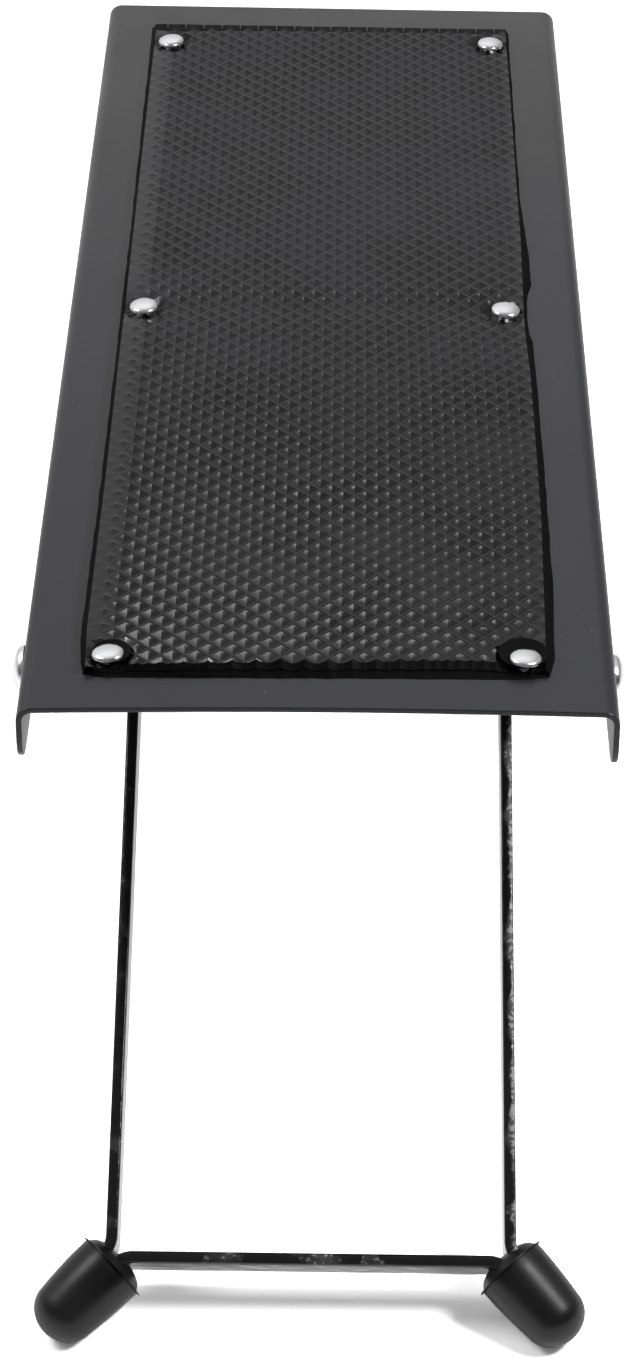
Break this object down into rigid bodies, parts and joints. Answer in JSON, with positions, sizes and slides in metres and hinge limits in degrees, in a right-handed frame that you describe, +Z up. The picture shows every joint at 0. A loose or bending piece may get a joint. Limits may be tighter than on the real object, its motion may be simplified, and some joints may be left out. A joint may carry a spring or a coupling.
{
  "type": "folding footrest",
  "caption": "Folding footrest for a seated guitarist: flanged plate with riveted rubber tread on crossed U-shaped strap legs with rubber feet, notched height setting.",
  "frame": {"origin": "on the floor, below the middle of the footrest's length and width", "axes": "+X to the user's right, +Y towards the far end of the plate, +Z up; the hinged end of the plate is at -Y"},
  "size_m": [0.1354, 0.2912, 0.1724],
  "materials": {
    "plate_paint": "satin black powder coat on steel sheet",
    "strap_paint": "gloss black paint on strap steel, lightly chipped at the edges",
    "tread_rubber": "moulded black rubber with a fine pyramid tread",
    "foot_rubber": "satin moulded black rubber",
    "rivet_bright": "bright tumbled aluminium",
    "zinc_steel": "zinc-plated steel"
  },
  "bodies": {
    "plate": {"foot_plate": "plate_paint", "rubber_tread": "tread_rubber", "tread_rivet_near_left": "rivet_bright", "tread_rivet_near_right": "rivet_bright", "tread_rivet_mid_left": "rivet_bright", "tread_rivet_mid_right": "rivet_bright", "tread_rivet_far_left": "rivet_bright", "tread_rivet_far_right": "rivet_bright", "hinge_rivet_right": "rivet_bright", "hinge_rivet_left": "rivet_bright", "hinge_washer_right": "zinc_steel", "hinge_washer_left": "zinc_steel", "notched_rail_right": "plate_paint", "notched_rail_left": "plate_paint"},
    "outer_frame": {"outer_leg": "strap_paint", "outer_foot_right": "foot_rubber", "outer_foot_left": "foot_rubber", "cross_rivet_right": "rivet_bright", "cross_rivet_left": "rivet_bright", "cross_sleeve_right": "zinc_steel", "cross_sleeve_left": "zinc_steel"},
    "inner_frame": {"inner_leg": "strap_paint", "inner_foot_right": "foot_rubber", "inner_foot_left": "foot_rubber", "height_rod": "zinc_steel"}
  },
  "joints": [
    {"name": "outer_leg_fold", "type": "hinge", "parent": "plate", "child": "outer_frame", "pos_m": [0, -0.12094, 0.16081], "axis": [1, 0, 0], "range_deg": [0, 32]},
    {"name": "inner_leg_fold", "type": "hinge", "parent": "outer_frame", "child": "inner_frame", "pos_m": [0, -0.02394, 0.09034], "axis": [1, 0, 0], "range_deg": [-64.9, 0]}
  ],
  "couplings": [
    {"joint": "inner_leg_fold", "follows": "outer_leg_fold", "ratio": -2.0272}
  ]
}
